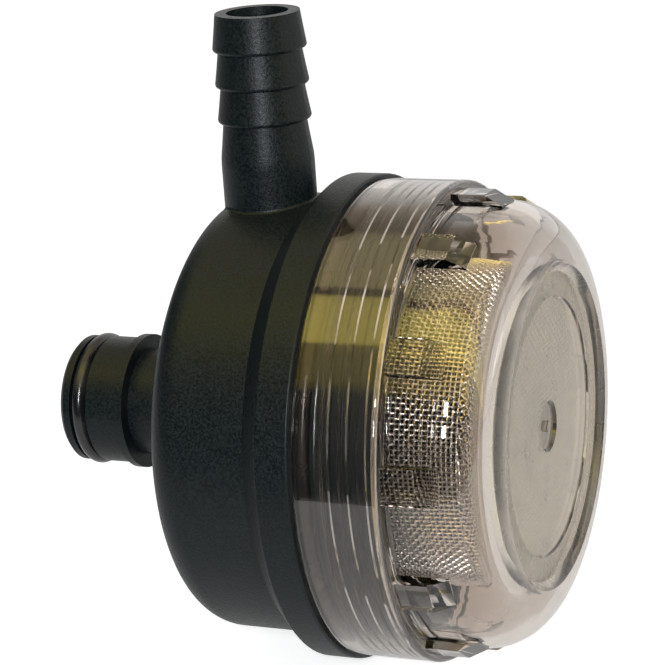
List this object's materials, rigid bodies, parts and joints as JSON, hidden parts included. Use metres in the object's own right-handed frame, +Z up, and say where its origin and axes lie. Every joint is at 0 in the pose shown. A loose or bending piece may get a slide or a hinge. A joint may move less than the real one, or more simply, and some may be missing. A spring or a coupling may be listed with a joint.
{
  "type": "sea water strainer",
  "caption": "Twist-off strainer for a pump inlet: black housing with a hose barb and a snap-in port, clear screw-on cover and woven steel screen.",
  "frame": {"origin": "on the snap-in port's axis, at the rear face of its retaining flange", "axes": "+X from the port towards the clear cover, +Z up along the hose barb"},
  "size_m": [0.083, 0.078, 0.1046],
  "materials": {
    "housing_plastic": "black glass-filled nylon, fine spark grain",
    "seal_rubber": "smooth black nitrile",
    "cover_clear": "clear polycarbonate with a faint smoky rose tint, polished",
    "screen_steel": "bright woven stainless wire",
    "band_steel": "bright rolled stainless strip"
  },
  "bodies": {
    "housing": {"housing": "housing_plastic", "port_o_ring": "seal_rubber", "cover_o_ring": "seal_rubber"},
    "screen": {"screen_mesh": "screen_steel", "screen_band": "band_steel"},
    "cover": {"cover": "cover_clear"}
  },
  "joints": [
    {"name": "screen_lift", "type": "slide", "parent": "housing", "child": "screen", "axis": [1, 0, 0], "range_m": [0, 0.012]},
    {"name": "cover_twist", "type": "hinge", "parent": "screen", "child": "cover", "pos_m": [0.043, 0, 0], "axis": [1, 0, 0], "range_deg": [0, 1440]}
  ],
  "couplings": [
    {"joint": "screen_lift", "follows": "cover_twist", "m_per_rad": 0.00047746}
  ]
}
